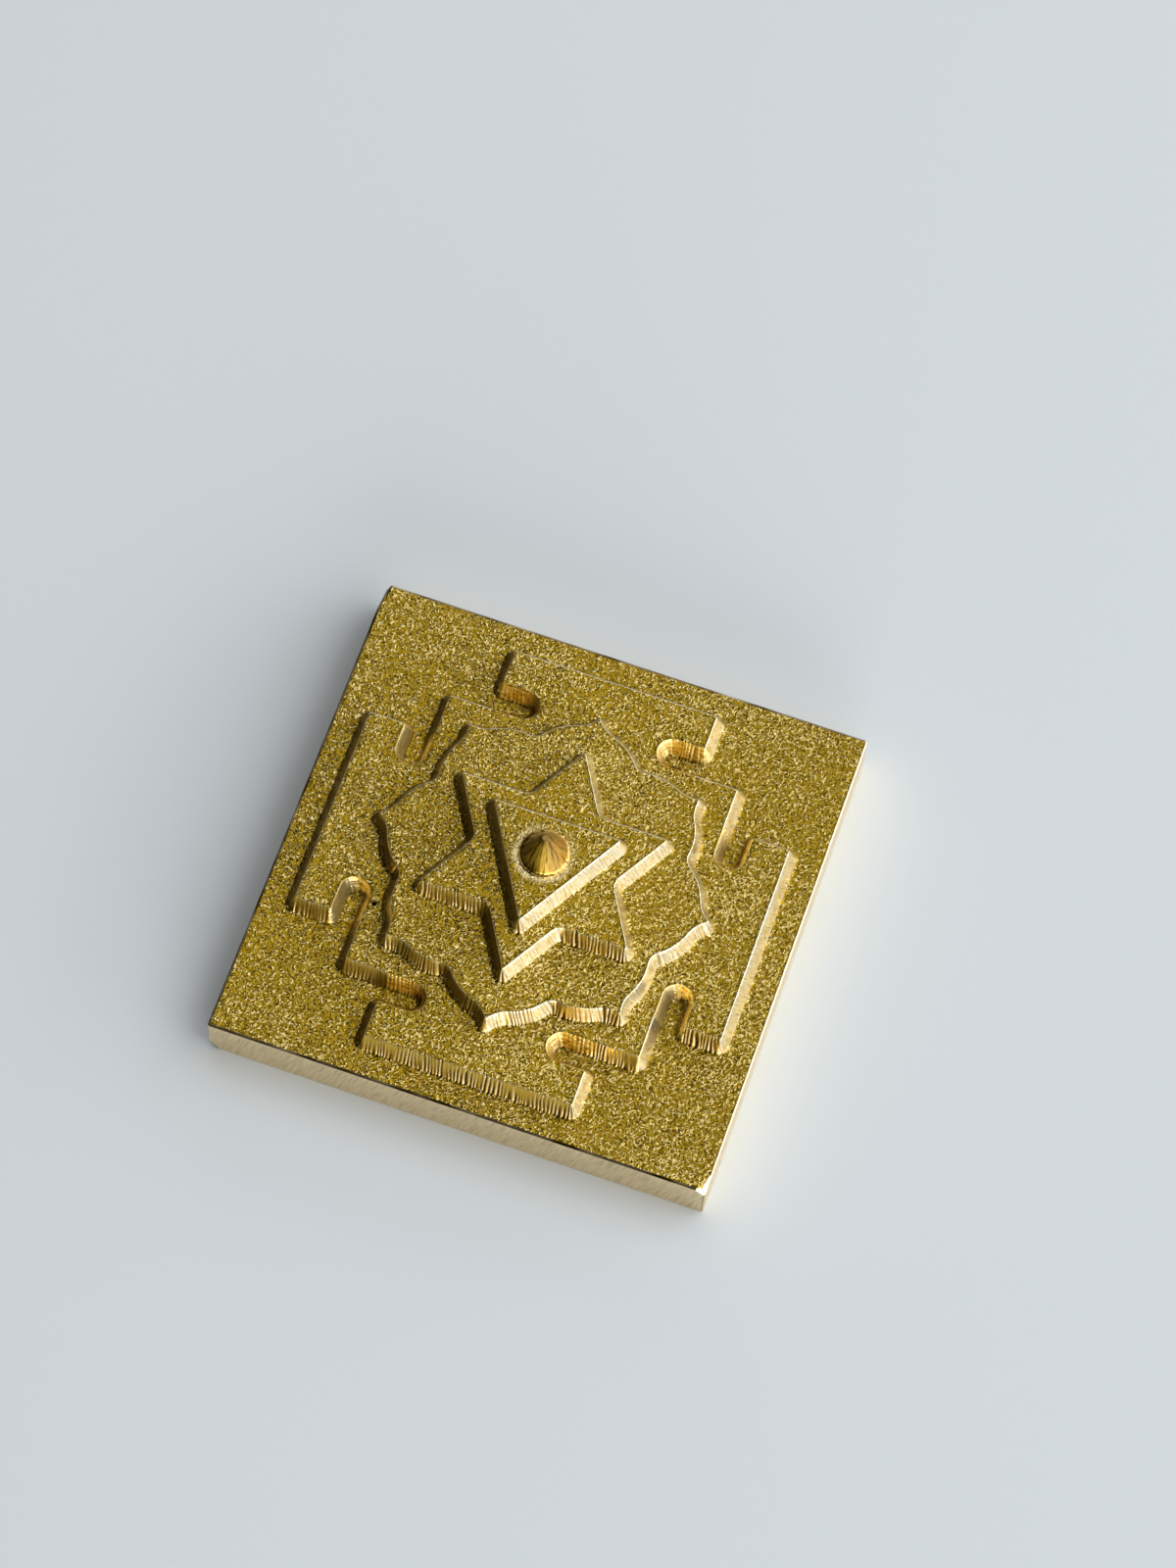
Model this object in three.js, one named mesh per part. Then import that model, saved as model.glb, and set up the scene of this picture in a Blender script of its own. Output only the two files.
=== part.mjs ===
// Chinnamasta yantra: a coin-sized devotional relief, milled in steps from one bar of brass.
// Its milled levels are separate solids here, each standing flat on the level below.
// Units are millimetres. X runs along the near edge, Y to the far edge, Z up from the underside.

import * as THREE from "three";

// Base plate: the square foot of the block, with its edges lightly broken.
const PLATE_SIDE = 32;
const PLATE_THICKNESS = 3.35;
const PLATE_EDGE_BREAK = 0.18;
const PLATE_CORNER_RADIUS = 0.3;

// The tapered cutter that made every step: its flat tip and the lean of its flank.
const CUTTER_TIP_RADIUS = 0.34;
const WALL_ANGLE = THREE.MathUtils.degToRad(30);
const RIM_CORNER_RADIUS = 0.08;

// Bhupura: the square earth level with a T-shaped gate in the middle of each side.
const BORDER_WIDTH = 2.23;
const BHUPURA_HEIGHT = 1.12;
const GATE_CAP_DEPTH = 2.34;
const GATE_CAP_WIDTH = 13.35;
const NEAR_FAR_NECK_WIDTH = 7.8;
const LEFT_RIGHT_NECK_WIDTH = 8.2;

// Lotus: eight petals, on the axes and the diagonals. Each is a round lobe that flares into a
// pointed nib, and the ledge is measured from the gates' outer line to the nibs.
const PETAL_COUNT = 8;
const LOTUS_HEIGHT = 1.02;
const LOTUS_LEDGE = 3.14;
const PETAL_LOBE_RADIUS = 3.8;
const PETAL_NIB_LENGTH = 0.68;
const PETAL_FLARE_RADIUS = 2.2;

// Hexagram: two crossed triangles drawn as one six-pointed star, inside the petals' valleys.
const STAR_POINTS = 6;
const HEXAGRAM_HEIGHT = 1.02;
const HEXAGRAM_LEDGE = 1.15;

// Inner triangle, pointing to the near edge.
const TRIANGLE_HEIGHT = 1.05;
const TRIANGLE_LEDGE = 2.98;

// Bindu: the raised point at the centre, a cone with a small flat tip.
const BINDU_HEIGHT = 2.3;
const BINDU_FOOT_RADIUS = 1.52;
const BINDU_TIP_RADIUS = 0.3;

// Smoothness of the drawn curves.
const ARC_STEP = THREE.MathUtils.degToRad(10);
const BINDU_SIDES = 72;

// Half sizes at the upper rim of each level, from the plate's edge inward.
const wallRun = (height) => height * Math.tan(WALL_ANGLE);
const cutterRadius = (height) => CUTTER_TIP_RADIUS + wallRun(height);
const slotRadius = cutterRadius(BHUPURA_HEIGHT);
const gateReach = PLATE_SIDE / 2 - BORDER_WIDTH;
const gateInner = gateReach - GATE_CAP_DEPTH;
const bodyHalf = gateInner - 2 * slotRadius;
const petalTipRadius = gateReach - LOTUS_LEDGE;

const brass = new THREE.MeshStandardMaterial({ color: 0x98792c, roughness: 0.42, metalness: 1 });

// A point at an angle in degrees, anticlockwise from +X.
function polar(radius, degrees) {
  const angle = THREE.MathUtils.degToRad(degrees);
  return new THREE.Vector2(radius * Math.cos(angle), radius * Math.sin(angle));
}

// The point at given distances from a and from b, to the left of the way from a to b.
function meetingPoint(a, fromA, b, fromB) {
  const way = b.clone().sub(a);
  const gap = way.length();
  way.normalize();
  const along = (fromA ** 2 - fromB ** 2 + gap ** 2) / (2 * gap);
  const aside = Math.sqrt(fromA ** 2 - along ** 2);
  const left = new THREE.Vector2(-way.y, way.x);
  return a.clone().addScaledVector(way, along).addScaledVector(left, aside);
}

// One bend of a rim outline, from one outward direction to another. The radius is the one at the
// rim: above zero on an outer bend and below zero on a hollow one.
const bend = (centre, radius, from, to) => ({ centre, radius, from, to });

// The unit vector square to the edge from a to b, pointing out of an anticlockwise outline.
function outwardNormal(a, b) {
  const along = b.clone().sub(a).normalize();
  return new THREE.Vector2(along.y, -along.x);
}

// A polygon's corner, with the radius that its bend has at the rim.
const corner = (point, radius = RIM_CORNER_RADIUS) => ({ point, radius });

// The bends of a polygon of straight edges.
function polygonBends(corners) {
  return corners.map(({ point, radius }, i) => {
    const from = outwardNormal(corners.at(i - 1).point, point);
    const to = outwardNormal(point, corners[(i + 1) % corners.length].point);
    const mitre = from.clone().add(to).divideScalar(1 + from.dot(to));
    const signed = radius * Math.sign(from.cross(to));
    return bend(point.clone().addScaledVector(mitre, -signed), signed, from, to);
  });
}

// The bends of a chain of circles, outer and hollow ones in turn, each touching the next.
function chainBends(circles) {
  const towards = (a, b) => b.centre.clone().sub(a.centre).divideScalar(a.radius - b.radius);
  return circles.map((circle, i) => {
    const next = circles[(i + 1) % circles.length];
    return bend(circle.centre, circle.radius, towards(circles.at(i - 1), circle), towards(circle, next));
  });
}

// The outline moved out by spread. An outer bend grows by it and a hollow one shrinks, as round
// a tapered cutter, so all spreads give rings whose points match.
function outlineRing(bends, spread) {
  return bends.flatMap(({ centre, radius, from, to }) => {
    const turn = Math.atan2(from.cross(to), from.dot(to));
    const steps = Math.max(2, Math.ceil(Math.abs(turn) / ARC_STEP));
    return Array.from({ length: steps + 1 }, (_, k) => {
      const normal = from.clone().rotateAround(new THREE.Vector2(), (turn * k) / steps);
      return centre.clone().addScaledVector(normal, radius + spread);
    });
  });
}

// A closed solid through matching rings of points, each at its own height. Where one bend runs
// straight into the next, the point that they share is used once.
function loft(rings, heights) {
  const last = rings.at(-1);
  const kept = last.map((p, i) => p.distanceTo(last.at(i - 1)) > 1e-4);
  const loops = rings.map((ring) => ring.filter((_, i) => kept[i]));
  const count = loops[0].length;
  const positions = loops.flatMap((loop, k) => loop.flatMap((p) => [p.x, p.y, heights[k]]));
  const index = [];
  for (let k = 0; k + 1 < loops.length; k++) {
    for (let i = 0; i < count; i++) {
      const [a, b] = [k * count + i, k * count + ((i + 1) % count)];
      index.push(a, b, b + count, a, b + count, a + count);
    }
  }
  const top = (loops.length - 1) * count;
  for (const [a, b, c] of THREE.ShapeUtils.triangulateShape(loops[0], [])) index.push(a, c, b);
  for (const [a, b, c] of THREE.ShapeUtils.triangulateShape(loops.at(-1), [])) {
    index.push(top + a, top + b, top + c);
  }
  const geometry = new THREE.BufferGeometry();
  geometry.setAttribute("position", new THREE.Float32BufferAttribute(positions, 3));
  geometry.setIndex(index);
  geometry.computeVertexNormals();
  return geometry;
}

// A milled level: its rim outline at the top and its wall leaning out to the foot.
function level(bends, height) {
  return loft([outlineRing(bends, wallRun(height)), outlineRing(bends, 0)], [0, height]);
}

// Base plate: a square block, its edges broken above and below.
function basePlate() {
  const half = PLATE_SIDE / 2;
  const corners = [[-1, -1], [1, -1], [1, 1], [-1, 1]].map(([x, y]) =>
    corner(new THREE.Vector2(x * half, y * half), PLATE_CORNER_RADIUS),
  );
  const bends = polygonBends(corners);
  const full = outlineRing(bends, 0);
  const broken = outlineRing(bends, -PLATE_EDGE_BREAK);
  const heights = [0, PLATE_EDGE_BREAK, PLATE_THICKNESS - PLATE_EDGE_BREAK, PLATE_THICKNESS];
  return loft([broken, full, full, broken], heights);
}

// Bhupura: each side has a neck, the slots that free the gate's cap, and the cap itself.
function bhupura() {
  const cap = GATE_CAP_WIDTH / 2;
  const corners = [];
  for (let side = 0; side < 4; side++) {
    const neck = (side % 2 === 0 ? NEAR_FAR_NECK_WIDTH : LEFT_RIGHT_NECK_WIDTH) / 2;
    const place = (along, out) =>
      new THREE.Vector2(along, -out).rotateAround(new THREE.Vector2(), (side * Math.PI) / 2);
    corners.push(
      corner(place(-bodyHalf, bodyHalf)),
      corner(place(-neck, bodyHalf), slotRadius),
      corner(place(-neck, gateInner), slotRadius),
      corner(place(-cap, gateInner)),
      corner(place(-cap, gateReach)),
      corner(place(cap, gateReach)),
      corner(place(cap, gateInner)),
      corner(place(neck, gateInner), slotRadius),
      corner(place(neck, bodyHalf), slotRadius),
    );
  }
  return level(polygonBends(corners), BHUPURA_HEIGHT);
}

// The circles that the petals' rim follows, anticlockwise: on each petal the lobe, one side's
// flare, the nib's tip, the other flare, the lobe again, and then the valley to the next petal.
function petalCircles() {
  const pitch = 360 / PETAL_COUNT;
  const lobeCentreRadius = petalTipRadius - PETAL_NIB_LENGTH - PETAL_LOBE_RADIUS;
  const valleyRadius = cutterRadius(LOTUS_HEIGHT);
  const toFlare = PETAL_LOBE_RADIUS + PETAL_FLARE_RADIUS;
  const toValley = PETAL_LOBE_RADIUS + valleyRadius;
  const tipToFlare = RIM_CORNER_RADIUS + PETAL_FLARE_RADIUS;
  const circles = [];
  for (let k = 0; k < PETAL_COUNT; k++) {
    const lobe = { centre: polar(lobeCentreRadius, k * pitch), radius: PETAL_LOBE_RADIUS };
    const tip = { centre: polar(petalTipRadius - RIM_CORNER_RADIUS, k * pitch), radius: RIM_CORNER_RADIUS };
    const nextLobeCentre = polar(lobeCentreRadius, (k + 1) * pitch);
    const flare = (centre) => ({ centre, radius: -PETAL_FLARE_RADIUS });
    circles.push(
      lobe,
      flare(meetingPoint(tip.centre, tipToFlare, lobe.centre, toFlare)),
      tip,
      flare(meetingPoint(lobe.centre, toFlare, tip.centre, tipToFlare)),
      lobe,
      { centre: meetingPoint(nextLobeCentre, toValley, lobe.centre, toValley), radius: -valleyRadius },
    );
  }
  return circles;
}

// Hexagram: points on the near-to-far axis, with notches that keep the cutter's radius.
function hexagram(radius) {
  const pitch = 360 / STAR_POINTS;
  const corners = [];
  for (let k = 0; k < STAR_POINTS; k++) {
    corners.push(corner(polar(radius, 90 + k * pitch)));
    corners.push(corner(polar(radius / Math.sqrt(3), 90 + (k + 0.5) * pitch), cutterRadius(HEXAGRAM_HEIGHT)));
  }
  return level(polygonBends(corners), HEXAGRAM_HEIGHT);
}

function innerTriangle(radius) {
  const corners = [30, 150, 270].map((degrees) => corner(polar(radius, degrees)));
  return level(polygonBends(corners), TRIANGLE_HEIGHT);
}

function bindu() {
  const profile = [
    new THREE.Vector2(0, 0),
    new THREE.Vector2(BINDU_FOOT_RADIUS, 0),
    new THREE.Vector2(BINDU_TIP_RADIUS, BINDU_HEIGHT),
    new THREE.Vector2(0, BINDU_HEIGHT),
  ];
  return new THREE.LatheGeometry(profile, BINDU_SIDES).rotateX(Math.PI / 2);
}

// The star starts a ledge inside the petals' valleys, and the triangle a ledge inside the star.
const petals = petalCircles();
const valley = petals.at(-1);
const petalValleyRadius = valley.centre.length() + valley.radius;
const starRadius = petalValleyRadius - HEXAGRAM_LEDGE;
const triangleRadius = starRadius - TRIANGLE_LEDGE;

// The levels from the bottom up, each seated on the one before.
const levels = [
  ["base_plate", basePlate(), PLATE_THICKNESS],
  ["bhupura_tier", bhupura(), BHUPURA_HEIGHT],
  ["lotus_tier", level(chainBends(petals), LOTUS_HEIGHT), LOTUS_HEIGHT],
  ["hexagram_tier", hexagram(starRadius), HEXAGRAM_HEIGHT],
  ["triangle_tier", innerTriangle(triangleRadius), TRIANGLE_HEIGHT],
  ["bindu", bindu(), BINDU_HEIGHT],
];

const yantra = new THREE.Group();
let seat = 0;
for (const [name, geometry, height] of levels) {
  const mesh = new THREE.Mesh(geometry, brass.clone());
  mesh.name = name;
  mesh.position.z = seat;
  yantra.add(mesh);
  seat += height;
}

export default yantra;
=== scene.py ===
"""Chinnamasta yantra: the looks of a small brass relief, milled in steps from one bar.

Every level of the relief is drawn again as a fine mesh. Its rims are worn, its walls carry the
flutes of the tapered cutter and run out into the face below, and its upper face is never quite
flat. Each point is marked with how rubbed or dirty the brass is there, and with the shade that is
painted on some walls, rims and edges; the finishes tint their colour by that mark. Lengths are
millimetres until a mesh is made.
"""
import logging
import math
import random
from collections.abc import Callable
from dataclasses import dataclass, field
from enum import Enum

import bpy
from mathutils import Matrix, Vector, noise
from mathutils.geometry import delaunay_2d_cdt
from mathutils.kdtree import KDTree


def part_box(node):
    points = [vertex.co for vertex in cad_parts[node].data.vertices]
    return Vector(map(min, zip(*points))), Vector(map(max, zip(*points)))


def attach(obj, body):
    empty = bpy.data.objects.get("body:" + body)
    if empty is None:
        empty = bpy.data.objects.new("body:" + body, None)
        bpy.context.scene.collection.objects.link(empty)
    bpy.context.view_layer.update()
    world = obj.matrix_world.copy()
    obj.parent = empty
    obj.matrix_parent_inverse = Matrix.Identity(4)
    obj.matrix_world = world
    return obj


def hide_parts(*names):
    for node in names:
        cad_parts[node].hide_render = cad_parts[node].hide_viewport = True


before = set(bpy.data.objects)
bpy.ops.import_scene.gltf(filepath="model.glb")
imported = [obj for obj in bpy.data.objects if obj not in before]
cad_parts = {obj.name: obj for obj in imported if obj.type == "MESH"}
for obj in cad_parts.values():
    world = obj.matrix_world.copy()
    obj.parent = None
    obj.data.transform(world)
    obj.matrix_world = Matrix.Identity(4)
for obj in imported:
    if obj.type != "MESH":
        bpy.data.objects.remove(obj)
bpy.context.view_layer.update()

LOG = logging.getLogger("yantra")
MM = 0.001
ROOT = "root"
PLATE_SIDE = 32.0
CUT_MARKS = "cut_marks"
# The ways along two levels' outlines are kept this far apart, so that no two walls look alike.
LEVELS_APART = 200.0
# Two bends nearer than this touch, with no edge between them.
TOUCHING = 0.001
FEWEST_PIECES_OF_A_BEND = 3
LID_TOLERANCE = 1e-7


class Slot(Enum):
    """The record's material slots."""

    PLATE = "plate_brass"
    RELIEF = "relief_brass"


class Zone(Enum):
    """The parts of a piece's surface that are finished in different ways."""

    WALL = 0
    FACE = 1
    TORN = 2


def clamp(value: float, low: float = 0.0, high: float = 1.0) -> float:
    """Keep a value between two others."""
    return min(high, max(low, value))


def srgb(code: str) -> tuple[float, float, float, float]:
    """Turn an sRGB hex colour into linear RGBA.

    Args:
        code: Six hex digits after a hash.

    Returns:
        Red, green, blue and an alpha of 1.
    """
    parts = [int(code[i:i + 2], 16) / 255 for i in (1, 3, 5)]
    linear = [c / 12.92 if c <= 0.04045 else ((c + 0.055) / 1.055) ** 2.4 for c in parts]
    return (*linear, 1.0)


def per_metre(size_mm: float) -> float:
    """Give the texture scale whose features are about size_mm across."""
    return 1.0 / (size_mm * MM)


def set_stops(ramp: bpy.types.ColorRamp, stops: list[tuple[float, str]]) -> None:
    """Set a colour ramp.

    Args:
        ramp: The ramp, still with the two stops that a new one has.
        stops: Positions and hex colours, lowest first.
    """
    for element, (position, code) in zip(ramp.elements, (stops[0], stops[-1])):
        element.position, element.color = position, srgb(code)
    for position, code in stops[1:-1]:
        ramp.elements.new(position).color = srgb(code)


def add_node(tree: bpy.types.NodeTree, kind: str, settings: dict | None = None,
             links: dict | None = None) -> bpy.types.Node:
    """Add a node, set its properties and socket values, and link its inputs.

    Args:
        tree: The node tree that gets the node.
        kind: The node's type name.
        settings: Properties by name, socket values by input name or number, and the stops of a
            colour ramp.
        links: Output sockets by the input name or number that they feed.

    Returns:
        The new node.
    """
    node = tree.nodes.new(kind)
    for name, value in (settings or {}).items():
        if name == "stops":
            set_stops(node.color_ramp, value)
        elif isinstance(name, str) and hasattr(node, name):
            setattr(node, name, value)
        else:
            node.inputs[name].default_value = value
    for name, output in (links or {}).items():
        tree.links.new(output, node.inputs[name])
    return node


def new_material(name: str) -> tuple[bpy.types.Material, bpy.types.NodeTree]:
    """Make an empty node material.

    Args:
        name: The material's name.

    Returns:
        The material and its cleared node tree.
    """
    material = bpy.data.materials.new(name)
    material.use_nodes = True
    material.node_tree.nodes.clear()
    return material, material.node_tree


def cut_marks(tree: bpy.types.NodeTree) -> tuple[bpy.types.NodeSocket, ...]:
    """Give the outputs of a surface's way along, height above the foot, and wear, which also carries
    painted shade.
    """
    marks = add_node(tree, "ShaderNodeAttribute", {"attribute_name": CUT_MARKS})
    return tuple(add_node(tree, "ShaderNodeSeparateXYZ", links={0: marks.outputs["Vector"]}).outputs)


def leaning_lines(tree: bpy.types.NodeTree, lean: float, squeeze: float, size_mm: float,
                  detail: float, roughness: float) -> bpy.types.NodeSocket:
    """Draw fine uneven lines that run up a wall.

    Args:
        tree: The node tree.
        lean: How far a line leans along the wall over each millimetre of height.
        squeeze: How fast the pattern changes up the wall, where 1 is as fast as along it.
        size_mm: The lines' size along the wall.
        detail: How many finer layers the pattern has.
        roughness: How strong those layers are.

    Returns:
        The pattern's output, from 0 to 1.
    """
    along, rise, _ = cut_marks(tree)
    leant = add_node(tree, "ShaderNodeMath", {"operation": "MULTIPLY_ADD", 1: lean},
                     {0: rise, 2: along}).outputs[0]
    squeezed = add_node(tree, "ShaderNodeMath", {"operation": "MULTIPLY", 1: squeeze},
                        {0: rise}).outputs[0]
    where = add_node(tree, "ShaderNodeCombineXYZ", links={"X": leant, "Y": squeezed}).outputs[0]
    return add_node(tree, "ShaderNodeTexNoise",
                    {"Scale": 1.0 / size_mm, "Detail": detail, "Roughness": roughness},
                    {"Vector": where}).outputs["Fac"]


def facing(tree: bpy.types.NodeTree, way: tuple[float, float, float], start: float, full: float,
           most: float) -> bpy.types.NodeSocket:
    """Give the share of a tint that a surface gets for the way that it faces.

    Args:
        tree: The node tree.
        way: The way that gets the most.
        start: The dot product of the normal and the way above which the tint shows.
        full: The dot product from which it shows most.
        most: The largest share.

    Returns:
        The share's output.
    """
    normal = add_node(tree, "ShaderNodeTexCoord").outputs["Normal"]
    turned = add_node(tree, "ShaderNodeVectorMath", {"operation": "DOT_PRODUCT", 1: way},
                      {0: normal}).outputs["Value"]
    return add_node(tree, "ShaderNodeMapRange", {"From Min": start, "From Max": full, "To Max": most},
                    {"Value": turned}).outputs["Result"]


def weathered_and_shaded(tree: bpy.types.NodeTree, colour: bpy.types.NodeSocket, rubbed: str,
              dirt_and_shade: str) -> bpy.types.NodeSocket:
    """Tint a colour by the surface's wear, and by the shade that is painted into the same mark.

    Args:
        tree: The node tree.
        colour: The clean metal's colour.
        rubbed: The colour where the wear is 1.
        dirt_and_shade: The colour where the wear is -1. It paints dirty brass and painted shade alike.

    Returns:
        The tinted colour's output.
    """
    wear = cut_marks(tree)[2]
    pale = add_node(tree, "ShaderNodeMix", {"data_type": "RGBA", 7: srgb(rubbed)},
                    {0: wear, 6: colour}).outputs[2]
    # Below 0 the mark holds both dirty brass and painted shade, and both take the dark colour.
    darkened = add_node(tree, "ShaderNodeMapRange", {"From Min": 0.0, "From Max": -1.0},
                     {"Value": wear}).outputs["Result"]
    return add_node(tree, "ShaderNodeMix", {"data_type": "RGBA", 7: srgb(dirt_and_shade)},
                    {0: darkened, 6: pale}).outputs[2]


def metal(tree: bpy.types.NodeTree, roughness: float, colour: bpy.types.NodeSocket,
          height: bpy.types.NodeSocket, bump_mm: float) -> None:
    """Finish a tree with a bare metal's shader.

    Args:
        tree: The node tree.
        roughness: The shader's roughness.
        colour: The metal's own colour.
        height: The height of the fine texture, from 0 to 1.
        bump_mm: How deep that texture is.
    """
    bump = add_node(tree, "ShaderNodeBump", {"Strength": 1.0, "Distance": bump_mm * MM},
                    {"Height": height})
    shader = add_node(tree, "ShaderNodeBsdfPrincipled", {"Metallic": 1.0, "Roughness": roughness},
                      {"Base Color": colour, "Normal": bump.outputs["Normal"]})
    add_node(tree, "ShaderNodeOutputMaterial", links={"Surface": shader.outputs["BSDF"]})


@dataclass(frozen=True)
class BlastedBrass:
    """Upper faces: brass, blasted and etched after milling.

    Short worm-like crests stand on a finer grain and catch the light, so the face looks olive
    gold and sandy, with pale glints that gather in patches.
    """

    name: str = "blasted_brass"
    pit: str = "#4A3A0C"
    ground: str = "#8C7112"
    crest: str = "#AE9236"
    glint: str = "#E6D290"
    # The dark colour: dirty pits, the darkening to the right, and painted shade on rims that face
    # right, on the plate's upper edges and at the foot of walls that face left.
    dirt_and_shade: str = "#1E1606"
    rubbed: str = "#E0CF9A"
    worm_mm: float = 0.25
    break_mm: float = 0.22
    grain_mm: float = 0.13
    patch_mm: float = 5.0
    roughness: float = 0.32
    bump_mm: float = 0.065

    def build(self) -> bpy.types.Material:
        """Make the material.

        Returns:
            The material.
        """
        material, tree = new_material(self.name)
        where = add_node(tree, "ShaderNodeTexCoord").outputs["Object"]
        worms, breaks, grains, patches = (
            add_node(tree, "ShaderNodeTexNoise",
                     {"Scale": per_metre(size_mm), "Detail": detail, "Distortion": distortion},
                     {"Vector": where}).outputs["Fac"]
            for size_mm, detail, distortion in ((self.worm_mm, 1.0, 0.6), (self.break_mm, 0.0, 0.0),
                                                (self.grain_mm, 1.0, 0.3), (self.patch_mm, 2.0, 0.0)))
        # The crests run where the first pattern crosses its middle, with a groove on either side.
        aside = add_node(tree, "ShaderNodeMath", {"operation": "SUBTRACT", 1: 0.5},
                         {0: worms}).outputs[0]
        apart = add_node(tree, "ShaderNodeMath", {"operation": "ABSOLUTE"}, {0: aside}).outputs[0]
        ridge = add_node(tree, "ShaderNodeValToRGB",
                         {"stops": [(0.0, "#FFFFFF"), (0.05, "#D8D8D8"), (0.11, "#424242"),
                                    (0.21, "#A8A8A8")]}, {"Fac": apart}).outputs["Color"]
        # The second pattern breaks them up, and the patches leave more of them standing.
        level = add_node(tree, "ShaderNodeMapRange",
                         {"From Min": 0.35, "From Max": 0.65, "To Min": 0.48, "To Max": 0.36},
                         {"Value": patches}).outputs["Result"]
        standing = add_node(tree, "ShaderNodeMath", {"operation": "SUBTRACT"},
                            {0: breaks, 1: level}).outputs[0]
        broken = add_node(tree, "ShaderNodeMapRange", {"interpolation_type": "SMOOTHSTEP",
                                                       "From Min": -0.08, "From Max": 0.1},
                          {"Value": standing}).outputs["Result"]
        worm = add_node(tree, "ShaderNodeMix", {"data_type": "FLOAT", 2: 0.36},
                        {0: broken, 3: ridge}).outputs[0]
        grain = add_node(tree, "ShaderNodeMapRange", {"From Min": 0.3, "From Max": 0.7},
                         {"Value": grains}).outputs["Result"]
        height = add_node(tree, "ShaderNodeMix", {"data_type": "FLOAT", 0: 0.7},
                          {2: grain, 3: worm}).outputs[0]
        sandy = add_node(tree, "ShaderNodeValToRGB",
                         {"stops": [(0.2, self.pit), (0.39, self.ground), (0.62, self.crest),
                                    (0.84, self.glint)]}, {"Fac": height}).outputs["Color"]
        metal(tree, self.roughness, weathered_and_shaded(tree, sandy, self.rubbed, self.dirt_and_shade), height,
              self.bump_mm)
        return material


@dataclass(frozen=True)
class MilledBrass:
    """Walls: brass left bright by the side of the cutter.

    The fresh cut is paler and smoother than the faces. The near and left walls, which face away
    from the light, are painted a darker amber: a painted shade. Dirt stays in the deeper grooves, the
    crests between them are worn pale, hairline scores lean across, and the metal is mottled yellow in
    places.
    """

    name: str = "milled_brass"
    # The dark colour: dirty grooves, and the painted shade on walls that face left.
    dirt_and_shade: str = "#3E2A06"
    score: str = "#9A8040"
    cut: str = "#E8E2CA"
    bright: str = "#F2EEDA"
    mottle: str = "#E2C87E"
    # Painted shade: the amber that walls facing the near side and the left are tinted with.
    dark_tint: str = "#CCA432"
    rubbed: str = "#FAEAC0"
    score_mm: float = 0.1
    score_squeeze: float = 0.15
    mottle_mm: float = 0.35
    lean: float = 0.5
    shaded_way: tuple[float, float, float] = (-0.7, -0.7, 0.0)
    roughness: float = 0.28
    bump_mm: float = 0.008

    def build(self) -> bpy.types.Material:
        """Make the material.

        Returns:
            The material.
        """
        material, tree = new_material(self.name)
        scores = leaning_lines(tree, self.lean, self.score_squeeze, self.score_mm, detail=2.0,
                               roughness=0.5)
        striped = add_node(tree, "ShaderNodeValToRGB",
                           {"stops": [(0.26, self.score), (0.4, self.cut), (0.6, self.bright)]},
                           {"Fac": scores}).outputs["Color"]
        where = add_node(tree, "ShaderNodeTexCoord").outputs["Object"]
        mottles = add_node(tree, "ShaderNodeTexNoise",
                           {"Scale": per_metre(self.mottle_mm), "Detail": 2.0, "Roughness": 0.6},
                           {"Vector": where}).outputs["Fac"]
        spots = add_node(tree, "ShaderNodeMapRange", {"From Min": 0.5, "From Max": 0.68, "To Max": 0.8},
                         {"Value": mottles}).outputs["Result"]
        spotted = add_node(tree, "ShaderNodeMix", {"data_type": "RGBA", 7: srgb(self.mottle)},
                           {0: spots, 6: striped}).outputs[2]
        # Painted shade: walls that face the near side and the left are tinted darker amber, and the
        # stained colour is that painted shade.
        dark_tint = facing(tree, self.shaded_way, start=0.1, full=0.6, most=0.95)
        stained = add_node(tree, "ShaderNodeMix", {"data_type": "RGBA", 7: srgb(self.dark_tint)},
                           {0: dark_tint, 6: spotted}).outputs[2]
        metal(tree, self.roughness, weathered_and_shaded(tree, stained, self.rubbed, self.dirt_and_shade), scores,
              self.bump_mm)
        return material


@dataclass(frozen=True)
class ScoredBrass(MilledBrass):
    """The bindu: brass left amber, painted darker on its near and left side as painted shade, with
    scores that run down from its tip.
    """

    name: str = "scored_brass"
    dirt_and_shade: str = "#3A2606"
    score: str = "#8A6420"
    cut: str = "#C39A46"
    bright: str = "#D9BC78"
    mottle: str = "#D2A23A"
    lean: float = 0.0


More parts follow.
